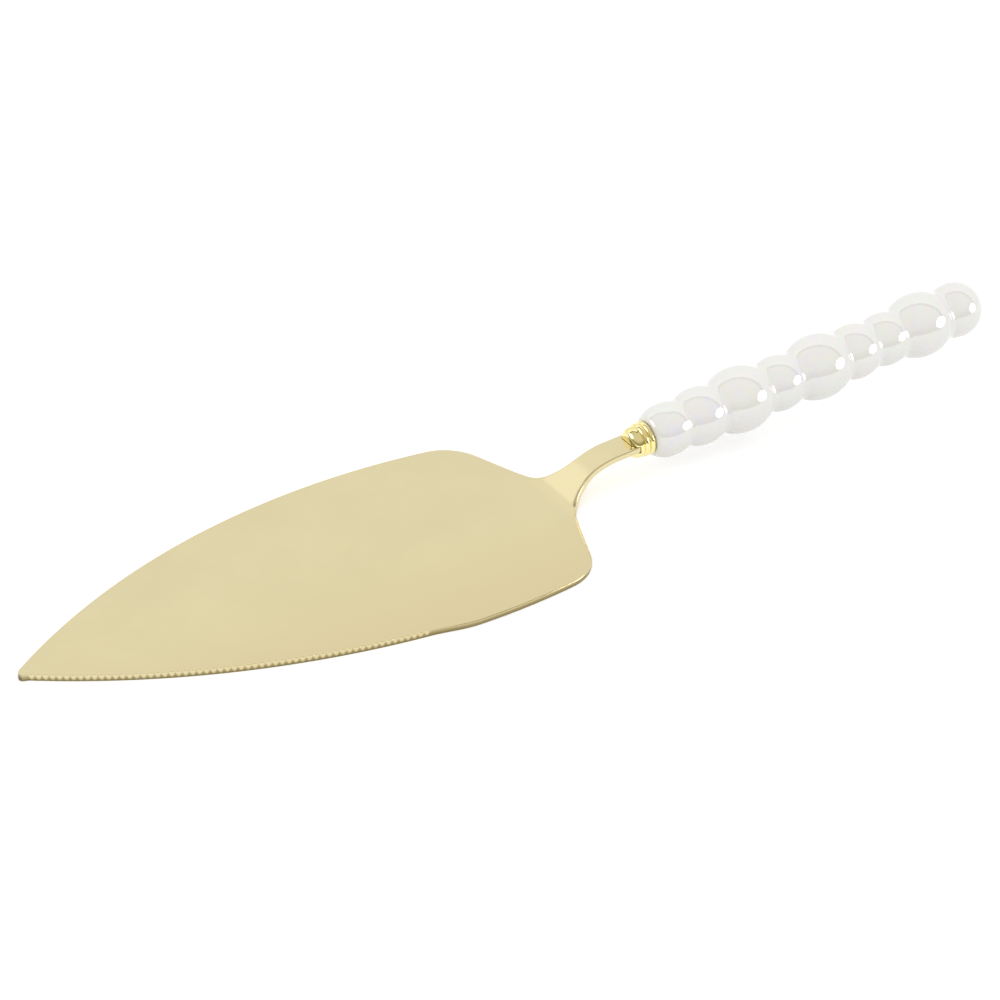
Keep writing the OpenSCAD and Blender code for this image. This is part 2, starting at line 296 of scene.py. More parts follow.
def blade_columns():
    """Near and far outline points with their normals and the arc length along the flutes."""
    side_r, side_c = plan["side_r"], plan["side"]
    flute_step = math.degrees(FLUTE_PITCH / side_r)
    turns = np.arange(1, (flute_count + 1) * COLUMNS_PER_FLUTE + 1) / COLUMNS_PER_FLUTE
    fluted = plan["tip_angle"] - flute_step * turns
    plain = np.linspace(fluted[-1], plan["heel_angle"], SIDE_COLUMNS)[1:]
    angles = np.concatenate([fluted, plain])
    tip = arc(plan["tip"], TIP_R, 180, plan["tip_angle"], POINT_STEPS + 1)
    radians = np.radians(angles)
    round_out = np.stack([np.cos(radians), np.sin(radians)], axis=1)
    heel = arc(plan["heel"], HEEL_R, plan["heel_angle"], REAR_RAKE, HEEL_COLUMNS)[1:]
    root = arc(plan["root"], ROOT_R, REAR_RAKE + 180, 270, ROOT_COLUMNS)
    share = np.linspace(0, 1, REAR_COLUMNS)[1:-1, None]
    rear = heel[-1] + (root[0] - heel[-1]) * share
    shoulder_x = ferrule_start[0] + SHOULDER_AT * axis_dir[0]
    neck_x = np.linspace(root[-1, 0], shoulder_x, NECK_COLUMNS)[1:]
    neck = np.stack([neck_x, np.full_like(neck_x, NECK_W / 2)], axis=1)
    tang_x = np.linspace(shoulder_x, shoulder_x + TANG_LEN * axis_dir[0], TANG_COLUMNS)
    tang = np.stack([tang_x, np.full_like(tang_x, TANG_W / 2)], axis=1)
    far = np.concatenate([tip, side_c + side_r * round_out, heel, rear, root, neck, tang])
    near = far.copy()
    tip_end, side_end = len(tip), len(tip) + len(angles)
    tip_share = ease(np.linspace(0, 1, tip_end))[:, None]
    near[:tip_end] -= tip_share * GRIND_FRONT * (tip - plan["tip"]) / TIP_R
    near[tip_end:side_end] -= grind(near[tip_end:side_end, 0])[:, None] * round_out
    along = np.zeros(len(far))
    along[tip_end:side_end] = np.radians(plan["tip_angle"] - angles) * side_r
    near[:, 1] *= -1
    near_out, far_out = outward(near, -1), outward(far, 1)
    straight = len(neck) + len(tang)
    near_out[-straight:], far_out[-straight:] = (0, -1), (0, 1)
    return near, far, near_out, far_out, along


def outward(points, side):
    """Unit normals of an outline: its central differences turned a quarter turn outwards."""
    run = np.gradient(points, axis=0)
    run[0] = [0, side]
    normal = side * np.stack([-run[:, 1], run[:, 0]], axis=1)
    return normal / np.linalg.norm(normal, axis=1, keepdims=True)


near, far, near_out, far_out, flute_along = blade_columns()
print(len(near), "columns")

# %% Rows: eased edges, walls and faces
# Edge radii: plain edges, along the flutes, and at the neck's root, where the easing also spreads wider
EDGE_R = 0.3
FLUTE_EDGE_R = 0.04
ROOT_EDGE_R = 0.66
ROOT_SPREAD = 1.8
ROOT_SOFT_LEN = 5.0
EASE_ROWS = 5
WALL_ROWS = 6
FACE_ROWS = 6
# Inset of the rows that hold the faces flat, in edge radii
HOLD = 2.2


def edge_rows():
    """Rows of an eased edge, from the top face round to the underside.

    Each row is [inset, level of the wall, lift]: the inset and the lift count in edge
    radii, and the level goes from 1 at the top to -1 at the underside. The first and
    last rows lie on the faces and hold their flatness.
    """
    a = np.radians(np.linspace(0, 90, EASE_ROWS))
    quarter = np.stack([1 - np.sin(a), np.ones(EASE_ROWS), np.cos(a) - 1], axis=1)
    wall = [[0, level, -level] for level in np.linspace(1, -1, WALL_ROWS + 2)[1:-1]]
    return np.concatenate([[[HOLD, 1, 0]], quarter, wall, quarter[::-1] * [1, -1, -1], [[HOLD, -1, 0]]])


def wall_points(points, out, radius, spread, half, along=None):
    """Flat places and heights of an edge's rows, for every column of an outline.

    The height is level x half thickness + lift x radius. The place is moved in from the
    outline by inset x radius x spread, and by the depth of the flutes where there are any.
    """
    inset, level, lift = edge_rows().T
    height = level * half + lift * radius
    depth = inset * radius * spread
    if along is not None:
        depth = depth + flute_cut(along, height + half)
    return points[:, None] - depth[..., None] * out[:, None], height / half


def blade_points():
    """The blade, neck and tang as an array (columns, rows, 3) in millimetres.

    Rows run down the far wall, along the underside to the near edge, up the near wall
    and back over the top face.
    """
    behind = near[:, 0] + POINT_LEN - FLUTED_LEN
    at_point = ease(np.arange(len(near)) / POINT_STEPS)
    crisp = at_point * (1 - ease(behind / GRIND_RUN_OUT))
    from_root = np.maximum(near[:, 0] - BEND_START, 0) / ROOT_SOFT_LEN
    soft = np.where(near[:, 0] > BEND_START - ROOT_R, np.exp(-from_root ** 2), 0)
    soft *= ease((near[:, 0] - BEND_START + ROOT_R) / ROOT_R)
    plain_r = EDGE_R + (ROOT_EDGE_R - EDGE_R) * soft
    near_r = (plain_r + (FLUTE_EDGE_R - EDGE_R) * crisp)[:, None]
    spread = (1 + (ROOT_SPREAD - 1) * soft)[:, None]
    half = middle_line(near[:, 0])[2][:, None] / 2
    far_flat, far_level = wall_points(far, far_out, plain_r[:, None], spread, half)
    near_flat, near_level = wall_points(near, near_out, near_r, spread, half, flute_along[:, None])
    near_flat, near_level = near_flat[:, ::-1], near_level[:, ::-1]
    share = np.linspace(0, 1, FACE_ROWS + 2)[1:-1][:, None]
    under = far_flat[:, -1:] + (near_flat[:, :1] - far_flat[:, -1:]) * share
    over = near_flat[:, -1:] + (far_flat[:, :1] - near_flat[:, -1:]) * share
    flat = np.concatenate([far_flat, under, near_flat, over], axis=1)
    face = np.ones((len(far), FACE_ROWS))
    level = np.concatenate([far_level, -face, near_level, face], axis=1)
    return bend(flat[..., 0], flat[..., 1], level)


WEAR_REACH = 1.9


def tip_wear(points):
    """Wear mark: 1 at the very tip, falling to 0 at the end of its reach."""
    away = np.linalg.norm(points - [-POINT_LEN, 0, BLADE_T / 2], axis=-1)
    return 1 - ease(away / WEAR_REACH)


blade_grid = blade_points()
blade_mesh = grid_mesh("leaf_blade", blade_grid, cap_last=True, marks={"wear": tip_wear(blade_grid)})
leaf_blade = add_piece("leaf_blade", blade_mesh, "blade")
blade_z = blade_grid[..., 2]
print("lowest point", blade_z.min().round(4), "mm, highest", blade_z.max().round(2), "mm")

# %% [markdown]
# ## Turned surfaces along the handle's axis
# The ferrule and the handle are both turned shapes on one tilted axis. A profile is a
# list of [distance from the ferrule's nose, radius] pairs, and one function carries it
# round the axis.

# %% Carry a profile round the axis
TURN_STEPS = 160


def turned(profile):
    """Points start + s axis + r (cos a across + sin a up), for every pair [s, r] and every angle a."""
    a = np.linspace(0, -2 * math.pi, TURN_STEPS, endpoint=False)
    s, r = profile[:, 0, None], profile[:, 1, None]
    up_r = r * np.sin(a)
    x = ferrule_start[0] + s * math.cos(tilt) - up_r * math.sin(tilt)
    z = ferrule_start[1] + s * math.sin(tilt) + up_r * math.cos(tilt)
    return np.stack([x, r * np.cos(a), z], axis=-1)

# %% [markdown]
# ## The ferrule
# A small turned fitting joins blade and handle: a rounded nose with an open slot for the
# neck, a swelling ring between two grooves, and a collar. A spigot goes on into the
# handle. Its two slots are the one thing that isn't turned, so a box cuts each.

# %% The ferrule's driving sizes
NOSE_R = 3.95
NOSE_LEN = 2.8
NOSE_ROUND = 2.0
WAIST_R = 3.7
RING_R = 4.3
RING_LEN = 1.6
COLLAR_R = 4.35
COLLAR_LEN = 1.5
SPIGOT_R = 2.95
SPIGOT_LEN = 6
GLUE_LINE = 0.1
ring_start = NOSE_LEN
collar_start = ring_start + RING_LEN
collar_end = collar_start + COLLAR_LEN
handle_at = collar_end + GLUE_LINE

# %% The ferrule's profile
SWELL_STEPS = 15


def swell(start, end, waist, crest):
    """An arc through two grooves and a crest.

    Its radius is (half length squared + rise squared) / (2 rise).
    """
    half, up = (end - start) / 2, crest - waist
    r = (half ** 2 + up ** 2) / (2 * up)
    spread = math.degrees(math.asin(half / r))
    return arc((start + half, crest - r), r, 90 + spread, 90 - spread, SWELL_STEPS)


nose = arc((NOSE_ROUND, NOSE_R - NOSE_ROUND), NOSE_ROUND, 180, 90, SWELL_STEPS)
spigot_end = collar_end + SPIGOT_LEN
spigot = np.array([[collar_end, SPIGOT_R], [spigot_end, SPIGOT_R], [spigot_end, 0]])
nose_end = NOSE_LEN - (NOSE_R - WAIST_R)
ferrule_profile = np.concatenate([
    [[0, 0]], nose, [[nose_end, NOSE_R]],
    swell(ring_start, collar_start, WAIST_R, RING_R),
    swell(collar_start, collar_end, WAIST_R, COLLAR_R)[1:],
    spigot,
])
print("ferrule profile of", len(ferrule_profile), "points, overall", round(spigot_end, 2), "mm long")

# %% Cut the slots and keep their edges sharp
OVERRUN = 1
SHARP_ANGLE = 32


def slot_box(name, start, end, width):
    """A box along the axis, as thick as the neck and its clearance, to cut with."""
    thick = NECK_T + 2 * SLOT_GAP
    sides = (-width / 2, width / 2)
    levels = (-thick / 2, thick / 2)
    corners = [(s, y, u) for s in (start, end) for y in sides for u in levels]
    points = [(ferrule_start[0] + s * math.cos(tilt) - u * math.sin(tilt), y,
               ferrule_start[1] + s * math.sin(tilt) + u * math.cos(tilt)) for s, y, u in corners]
    faces = [(0, 1, 3, 2), (4, 6, 7, 5), (0, 4, 5, 1), (2, 3, 7, 6), (0, 2, 6, 4), (1, 5, 7, 3)]
    mesh = bpy.data.meshes.new(name)
    mesh.from_pydata((np.array(points) * MM).tolist(), [], faces)
    box = bpy.data.objects.new(name, mesh)
    bpy.context.scene.collection.objects.link(box)
    return box


def cut(piece, boxes):
    """Cuts the boxes out of the piece and keeps the result as its mesh."""
    for box in boxes:
        step = piece.modifiers.new(box.name, "BOOLEAN")
        step.operation, step.solver, step.object = "DIFFERENCE", "EXACT", box
    settled = piece.evaluated_get(bpy.context.evaluated_depsgraph_get())
    piece.data = bpy.data.meshes.new_from_object(settled)
    piece.modifiers.clear()
    for box in boxes:
        bpy.data.objects.remove(box)


ferrule_mesh = grid_mesh("slotted_ferrule", turned(ferrule_profile))
slotted_ferrule = add_piece("slotted_ferrule", ferrule_mesh, "ferrule")
cut(slotted_ferrule, [
    slot_box("nose_slot", -OVERRUN, SLOT_DEPTH, 3 * RING_R),
    slot_box("tang_slot", 0, spigot_end + OVERRUN, TANG_W + 2 * SLOT_GAP),
])
slotted_ferrule.data.set_sharp_from_angle(angle=math.radians(SHARP_ANGLE))
print("ferrule after cutting:", len(slotted_ferrule.data.polygons), "faces")

# %% [markdown]
# ## The handle of nine fused beads
# Nine glazed beads of mixed sizes run into each other along a blind bore. The profile is
# a chain of arcs. A bead's side is a little flatter than a ball's: its arc is larger than
# the bead and has its centre beyond the axis. Between two beads the glaze fills a narrow
# hollow, a small circle that touches both arcs, so the slopes agree where they meet and
# the reflections run on without a break. Both ends of the handle are true balls.

# %% The handle's driving sizes
LARGE_BEAD_D = 17
HANDLE_LEN = 102.4
GROOVE_R = 2.4
BEAD_BELLY_SHARE = 1.37
FIRST_BEAD_STRETCH = 1.1
BORE_R = 3.2
BORE_DEPTH = 62
RIM_R = 0.5
bead_size_shares = np.array([0.79, 0.865, 0.994, 0.836, 0.985, 0.835, 0.809, 0.987, 0.846])
bead_place_shares = np.array([0.0573, 0.1486, 0.2653, 0.3825, 0.5021, 0.6136, 0.7076, 0.8143])
bead_r = bead_size_shares * LARGE_BEAD_D / 2
bead_s = np.append(bead_place_shares * HANDLE_LEN, HANDLE_LEN - bead_r[-1])
belly_r = bead_r * BEAD_BELLY_SHARE
belly = np.stack([bead_s, bead_r - belly_r], axis=1)
print("bead radii", bead_r.round(2), "mm")

# %% The handle's profile
FRONT_STEPS = 18
RIM_STEPS = 7
HOLLOW_STEPS = 14
BELLY_DEGREES = 2.2
LAST_BELLY_STEPS = 12
END_STEPS = 26


def hollow(i):
    """Centre of the hollow between beads i and i + 1.

    It lies a belly radius plus the groove radius from the centres of both beads' arcs.
    """
    gap = belly[i + 1] - belly[i]
    far = np.linalg.norm(gap)
    to_this, to_next = belly_r[i] + GROOVE_R, belly_r[i + 1] + GROOVE_R
    ahead = (far ** 2 + to_this ** 2 - to_next ** 2) / (2 * far)
    up = math.sqrt(to_this ** 2 - ahead ** 2)
    return belly[i] + (ahead * gap + up * np.array([-gap[1], gap[0]])) / far


def angle_from(centre, point):
    """Angle of a point seen from a centre, in degrees."""
    return math.degrees(math.atan2(point[1] - centre[1], point[0] - centre[0]))


def handle_profile():
    """Pairs [s, r] from the bottom of the bore, out at the front, over the beads to the far end."""
    front_s = bead_s[0] - FIRST_BEAD_STRETCH
    front_r = math.sqrt(bead_r[0] ** 2 - front_s ** 2)
    start = math.degrees(math.acos((RIM_R - front_s) / bead_r[0]))
    first = arc((front_s, 0), bead_r[0], start, 90, FRONT_STEPS)
    t = np.linspace(0, 1, RIM_STEPS)[:-1, None]
    inner = np.array([0, front_r - RIM_R])
    corner = np.array([0, front_r])
    rim = inner * (1 - t) ** 2 + corner * 2 * t * (1 - t) + first[0] * t ** 2
    parts = [[[BORE_DEPTH, 0], [BORE_DEPTH, BORE_R], [0, BORE_R]], rim, first]
    enter = 90
    last = len(bead_r) - 1
    for i in range(last):
        leave = angle_from(belly[i], hollow(i))
        steps = int(np.ceil((enter - leave) / BELLY_DEGREES))
        parts.append(arc(belly[i], belly_r[i], enter, leave, steps))
        enter = angle_from(belly[i + 1], hollow(i))
        parts.append(arc(hollow(i), GROOVE_R, leave + 180, enter + 180, HOLLOW_STEPS)[1:-1])
    parts.append(arc(belly[last], belly_r[last], enter, 90, LAST_BELLY_STEPS))
    parts.append(arc((bead_s[last], 0), bead_r[last], 90, 0, END_STEPS)[1:])
    profile = np.concatenate(parts)
    return profile + [handle_at, 0]


handle_pairs = handle_profile()
bead_handle = add_piece("bead_handle", grid_mesh("bead_handle", turned(handle_pairs)), "handle")
print("handle profile of", len(handle_pairs), "points")

# %% [markdown]
# ## Helpers for materials
# A material is a small graph. These helpers add a node, join two sockets and do sums, so
# that each finish below reads as a recipe. Plain numbers go straight onto the sockets.

# %% Build node graphs
def add(tree, kind, inputs=None, **settings):
    """Adds a node, sets its options, and fills its inputs with numbers or with sockets."""
    made = tree.nodes.new(kind)
    for key, value in settings.items():
        setattr(made, key, value)
    for key, value in (inputs or {}).items():
        fill(tree, made.inputs[key], value)
    return made


def fill(tree, socket, value):
    """Links a socket to an input, or writes a plain value there."""
    if isinstance(value, bpy.types.NodeSocket):
        tree.links.new(value, socket)
    else:
        socket.default_value = value


def sums(tree, operation, *values):
    """One Math node and its result."""
    return add(tree, "ShaderNodeMath", dict(enumerate(values)), operation=operation).outputs[0]


def ramp_value(tree, value, low, high, to_low=0.0, to_high=1.0):
    """Smooth step of a value from low..high to to_low..to_high."""
    return add(tree, "ShaderNodeMapRange", {
        "Value": value, "From Min": low, "From Max": high, "To Min": to_low, "To Max": to_high,
    }, interpolation_type="SMOOTHSTEP").outputs["Result"]


def blend_colour(tree, share, first, second):
    """The first colour where the share is 0, the second where it is 1."""
    mixed = add(tree, "ShaderNodeMix", data_type="RGBA")
    for place, value in ((0, share), (6, first), (7, second)):
        fill(tree, mixed.inputs[place], value)
    return mixed.outputs[2]


def new_group(name, inputs, outputs):
    """A node group with named inputs, each with its default, and named outputs."""
    group = bpy.data.node_groups.new(name, "ShaderNodeTree")
    for label, (kind, default) in inputs.items():
        socket = group.interface.new_socket(label, in_out="INPUT", socket_type=kind)
        if default is not None:
            socket.default_value = default
    for label, kind in outputs.items():
        group.interface.new_socket(label, in_out="OUTPUT", socket_type=kind)
    return group, group.nodes.new("NodeGroupInput").outputs, group.nodes.new("NodeGroupOutput").inputs


def place_group(tree, group, inputs):
    """Puts a group into a material with its own values and returns its outputs."""
    made = add(tree, "ShaderNodeGroup", node_tree=group)
    for key, value in inputs.items():
        fill(tree, made.inputs[key], value)
    return made.outputs

# %% [markdown]
# ## Effects that the finishes share
# Three effects come back in more than one material, so each is a node group: the fine
# lines that a polishing belt leaves, a soft cloudiness that keeps any real surface from
# being quite even, and wear, which bares the metal under a plating where a mark says so.

# %% Polishing lines
VALUE, VECTOR, COLOUR = "NodeSocketFloat", "NodeSocketVector", "NodeSocketColor"


def polish_group():
    """Noise squeezed across the polishing direction, so that it draws out into fine lines."""
    group, given, out = new_group(
        "polish_lines",
        {"Vector": (VECTOR, None), "Lines": (VALUE, 9000.0), "Stretch": (VALUE, 30.0)},
        {"Height": VALUE},
    )
    split = add(group, "ShaderNodeSeparateXYZ", {"Vector": given["Vector"]}).outputs
    drawn = sums(group, "DIVIDE", split["X"], given["Stretch"])
    squeezed = add(group, "ShaderNodeCombineXYZ", {"X": drawn, "Y": split["Y"], "Z": split["Z"]}).outputs[0]
    noise = add(group, "ShaderNodeTexNoise", {
        "Vector": squeezed, "Scale": given["Lines"], "Detail": 2.0, "Roughness": 0.55})
    fill(group, out["Height"], noise.outputs[0])
    return group


def mottle_group():
    """Two sizes of soft noise, three parts coarse to one part fine."""
    group, given, out = new_group(
        "soft_mottle", {"Vector": (VECTOR, None), "Scale": (VALUE, 60.0)}, {"Value": VALUE})
    coarse = add(group, "ShaderNodeTexNoise", {
        "Vector": given["Vector"], "Scale": given["Scale"], "Detail": 2.0})
    finer = sums(group, "MULTIPLY", given["Scale"], 9.0)
    fine = add(group, "ShaderNodeTexNoise", {"Vector": given["Vector"], "Scale": finer, "Detail": 3.0})
    most = sums(group, "MULTIPLY", coarse.outputs[0], 0.75)
    fill(group, out["Value"], sums(group, "MULTIPLY_ADD", fine.outputs[0], 0.25, most))
    return group


def wear_group():
    """Wear: a mark lifted by noise, past a threshold that leaves ragged borders."""
    group, given, out = new_group(
        "plating_wear",
        {"Vector": (VECTOR, None), "Mark": (VALUE, 0.0), "Grain": (VALUE, 1500.0)},
        {"Mask": VALUE},
    )
    noise = add(group, "ShaderNodeTexNoise", {
        "Vector": given["Vector"], "Scale": given["Grain"], "Detail": 4.0})
    lifted = sums(group, "MULTIPLY_ADD", noise.outputs[0], 0.6, given["Mark"])
    fill(group, out["Mask"], ramp_value(group, lifted, 0.75, 1.05))
    return group


polish_lines, soft_mottle, plating_wear = polish_group(), mottle_group(), wear_group()
print("shared effects:", [group.name for group in (polish_lines, soft_mottle, plating_wear)])

# %% [markdown]
# ## Satin gold on the blade
# The blade is stainless steel with a thin pale gold coating over a fine satin. A metal's
# colour is its reflection, so the base colour is the tint of a white surround. The fine
# lines run along the blade; they are too fine to see from a step away, but they soften
# each reflection. Towards the fluted edge the gold is painted a little darker, as painted
# shade, and the very point is worn to bare steel.

# %% Start a material
def new_finish(name, **constants):
    """A material, its tree, its shader and its object coordinates; constants go onto the shader."""
    material = bpy.data.materials.new(name)
    material.use_nodes = True
    tree = material.node_tree
    shader = tree.nodes["Principled BSDF"]
    for label, value in constants.items():
        shader.inputs[label.replace("_", " ")].default_value = value
    place = add(tree, "ShaderNodeTexCoord").outputs["Object"]
    return material, tree, shader.inputs, place

# %% The blade's finish
DEEPER_GOLD = (0.72, 0.632, 0.378, 1)
PALER_GOLD = (0.745, 0.655, 0.395, 1)
# Painted shade: a darker gold towards the fluted edge, reached in full at the Y below, in metres
NEAR_SHADE_GOLD = (0.708, 0.608, 0.35, 1)
BARE_STEEL = (0.40, 0.36, 0.30, 1)
NEAR_SHADE_AT = -0.036


def satin_gold():
    """Pale satin gold: fine lines, faint clouds in tint and roughness, bare steel where it is worn."""
    material, tree, shader, place = new_finish("satin_gold", Metallic=1.0)
    lines = place_group(tree, polish_lines, {"Vector": place, "Lines": 9000.0, "Stretch": 40.0})["Height"]
    cloud = place_group(tree, soft_mottle, {"Vector": place, "Scale": 45.0})["Value"]
    mark = add(tree, "ShaderNodeAttribute", attribute_name="wear").outputs["Fac"]
    worn = place_group(tree, plating_wear, {"Vector": place, "Mark": mark, "Grain": 1400.0})["Mask"]
    gold = blend_colour(tree, ramp_value(tree, cloud, 0.3, 0.7), DEEPER_GOLD, PALER_GOLD)
    across = add(tree, "ShaderNodeSeparateXYZ", {"Vector": place}).outputs["Y"]
    # Painted shade: the gold darkens from the middle of the blade towards the fluted edge
    gold = blend_colour(tree, ramp_value(tree, across, NEAR_SHADE_AT, 0.0), NEAR_SHADE_GOLD, gold)
    fill(tree, shader["Base Color"], blend_colour(tree, worn, gold, BARE_STEEL))
    even = sums(tree, "MULTIPLY_ADD", cloud, 0.06, 0.13)
    fill(tree, shader["Roughness"], sums(tree, "MULTIPLY_ADD", lines, 0.06, even))
    bump = add(tree, "ShaderNodeBump", {"Height": lines, "Strength": 0.12, "Distance": 0.00002})
    fill(tree, shader["Normal"], bump.outputs[0])
    return material


leaf_blade.data.materials.append(satin_gold())
print("finish of the blade:", leaf_blade.data.materials[0].name)

# %% [markdown]
# ## Polished gold on the ferrule
# The same plating over a mirror polish, richer in colour. It shows the whole studio:
# pale where it faces the backdrop and the table, brown where it faces the room, and white
# where it faces a lamp.

# %% The ferrule's finish
RICH_GOLD = (0.90, 0.79, 0.39, 1)
LIGHT_RICH_GOLD = (0.93, 0.83, 0.43, 1)


def mirror_gold():
    """Mirror gold: nearly smooth, with a breath of cloudiness and hair-fine polishing lines."""
    material, tree, shader, place = new_finish("mirror_gold", Metallic=1.0)
    lines = place_group(tree, polish_lines, {"Vector": place, "Lines": 5000.0, "Stretch": 0.2})["Height"]
    cloud = place_group(tree, soft_mottle, {"Vector": place, "Scale": 300.0})["Value"]
    gold = blend_colour(tree, ramp_value(tree, cloud, 0.3, 0.7), RICH_GOLD, LIGHT_RICH_GOLD)
    fill(tree, shader["Base Color"], gold)
    fill(tree, shader["Roughness"], sums(tree, "MULTIPLY_ADD", cloud, 0.06, 0.05))
    bump = add(tree, "ShaderNodeBump", {"Height": lines, "Strength": 0.04, "Distance": 0.00001})
    fill(tree, shader["Normal"], bump.outputs[0])
    return material


slotted_ferrule.data.materials.clear()
slotted_ferrule.data.materials.append(mirror_gold())
print("finish of the ferrule:", slotted_ferrule.data.materials[0].name)

# %% [markdown]
# ## Pearl lustre on the handle
# White ceramic under a very glossy glaze with a lustre film, thinner than a wavelength,
# that turns faintly pink, green and blue as its thickness wanders. A colour ramp over a
# twisted noise stands for those pastel tints. The high index makes the reflections as
# strong as a lustre's, so that the tent and the room show in each bead.

# %% The handle's finish
# Places on the colour ramp with the glaze's tints: violet, pink, cream, green and peach
PEARL_TINTS = [
    (0.3, (0.835, 0.835, 0.87)),
    (0.41, (0.88, 0.835, 0.82)),
    (0.5, (0.865, 0.85, 0.80)),
    (0.59, (0.835, 0.865, 0.81)),
    (0.7, (0.89, 0.845, 0.77)),
]


def pearl_glaze():
    """Pearl glaze: warm white with wandering pastel tints under a sharp, slightly wavy gloss."""
    material, tree, shader, place = new_finish("pearl_glaze", IOR=2.05)
    wander = add(tree, "ShaderNodeTexNoise", {
        "Vector": place, "Scale": 270.0, "Detail": 1.0, "Distortion": 1.0})
    tints = add(tree, "ShaderNodeValToRGB", {"Fac": wander.outputs[0]})
    while len(tints.color_ramp.elements) < len(PEARL_TINTS):
        tints.color_ramp.elements.new(0.5)
    for element, (position, colour) in zip(tints.color_ramp.elements, PEARL_TINTS):
        element.position, element.color = position, (*colour, 1)
    cloud = place_group(tree, soft_mottle, {"Vector": place, "Scale": 120.0})["Value"]
    fill(tree, shader["Base Color"], tints.outputs[0])
    fill(tree, shader["Roughness"], sums(tree, "MULTIPLY_ADD", cloud, 0.02, 0.0))
    bump = add(tree, "ShaderNodeBump", {"Height": cloud, "Strength": 0.02, "Distance": 0.0004})
    fill(tree, shader["Normal"], bump.outputs[0])
    return material


bead_handle.data.materials.append(pearl_glaze())
print("finish of the handle:", bead_handle.data.materials[0].name, "with", len(PEARL_TINTS), "tints")

# %% [markdown]
# ## Filler inside the bore
# The tang is held by a hardened grey filler that nobody sees. It keeps its node, and the
# node gets a dull, slightly pitted finish.

# %% The filler's finish
FILLER_GREY = (0.50, 0.48, 0.42, 1)
PALE_FILLER_GREY = (0.62, 0.60, 0.54, 1)


def hard_filler():
    """Dull grey filler with sandy grains and small pits."""
    material, tree, shader, place = new_finish("hard_filler")
    grain = place_group(tree, soft_mottle, {"Vector": place, "Scale": 900.0})["Value"]
    fill(tree, shader["Base Color"], blend_colour(tree, grain, FILLER_GREY, PALE_FILLER_GREY))
    fill(tree, shader["Roughness"], sums(tree, "MULTIPLY_ADD", grain, 0.15, 0.7))
    bump = add(tree, "ShaderNodeBump", {"Height": grain, "Strength": 0.5, "Distance": 0.0002})
    fill(tree, shader["Normal"], bump.outputs[0])
    return material


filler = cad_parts["filler"]
filler.data.materials.clear()
filler.data.materials.append(hard_filler())
print("finish of the filler:", filler.data.materials[0].name)

# %% [markdown]
# ## The camera
# The photograph looks down from the front left, with a long lens. The camera's place and
# heading were worked out from the outline of the blade and the beads.

# %% Place the camera
CAMERA_AT = (-0.2947, -0.5121, 0.3905)
CAMERA_AZIMUTH = 31.94
CAMERA_ELEVATION = 32.55
CAMERA_ROLL = 0.1
LENS = 108.0
SENSOR = 36.0


def heading(azimuth, elevation):
    """Unit vector: azimuth turns from +Y towards +X, elevation is over the horizon, in degrees."""
    a, e = math.radians(azimuth), math.radians(elevation)
    return Vector((math.sin(a) * math.cos(e), math.cos(a) * math.cos(e), math.sin(e)))


lens = bpy.data.cameras.new("photo_camera")
lens.lens, lens.sensor_width, lens.clip_start = LENS, SENSOR, 0.01
camera = bpy.data.objects.new("photo_camera", lens)
bpy.context.scene.collection.objects.link(camera)
turn = heading(CAMERA_AZIMUTH, -CAMERA_ELEVATION).to_track_quat("-Z", "Y").to_matrix()
turn = turn @ Matrix.Rotation(math.radians(CAMERA_ROLL), 3, "Z")
camera.matrix_world = Matrix.Translation(CAMERA_AT) @ turn.to_4x4()
bpy.context.scene.camera = camera
bpy.context.scene.view_settings.view_transform = "Standard"
print("camera at", CAMERA_AT, "with a", LENS, "mm lens")

# %% [markdown]
# ## Table, tent and lamps
# The object lies on a white table in a white tent that is open towards the viewer, so
# polished faces show a bright backdrop, a thin dark hem, a warmer and dimmer room, and
# two oval lamps: one low on the right and one on the left. A flag keeps the left lamp off
# the satin blade, which would glare. The right lamp draws the bright line on the blade's
# near rim, and from behind the blade mirrors it. The tent and the room are the world's own
# colours by direction. The camera sees plain white behind the object.

# %% The white table
TABLE_R = 0.6
TABLE_WHITE = 0.8
TABLE_LIFT = 0.4
# How far in front of the object polished faces see the paper end
PAPER_FRONT = 0.3
# The room's brightness and tint at the horizon
ROOM_LOW = 0.28
ROOM_TINT = (1.0, 0.86, 0.42, 1)
# Painted shade on the paper: how near a polished face has to be to see it, and how much it darkens the
# paper
CONTACT_REACH = 0.0045
CONTACT_SHADE = 0.85


def disc(name, radius, rings=24, sectors=96):
    """A flat disc on Z = 0: points r (cos a, sin a), as a fan of rings round one middle point."""
    a = np.linspace(0, 2 * math.pi, sectors, endpoint=False)
    r = np.linspace(0, radius, rings + 1)[1:, None]
    ring_points = np.stack([r * np.cos(a), r * np.sin(a), 0 * r * a], axis=-1).reshape(-1, 3)
    corner = np.arange(rings * sectors).reshape(rings, sectors)
    beside = np.roll(corner, -1, axis=1)
    quads = np.stack([corner[:-1], corner[1:], beside[1:], beside[:-1]], axis=-1).reshape(-1, 4)
    middle = np.full(sectors, rings * sectors)
    fan = np.stack([middle, corner[0], beside[0]], axis=-1)
    mesh = bpy.data.meshes.new(name)
    mesh.from_pydata(ring_points.tolist() + [(0, 0, 0)], [], quads.tolist() + fan.tolist())
    return mesh


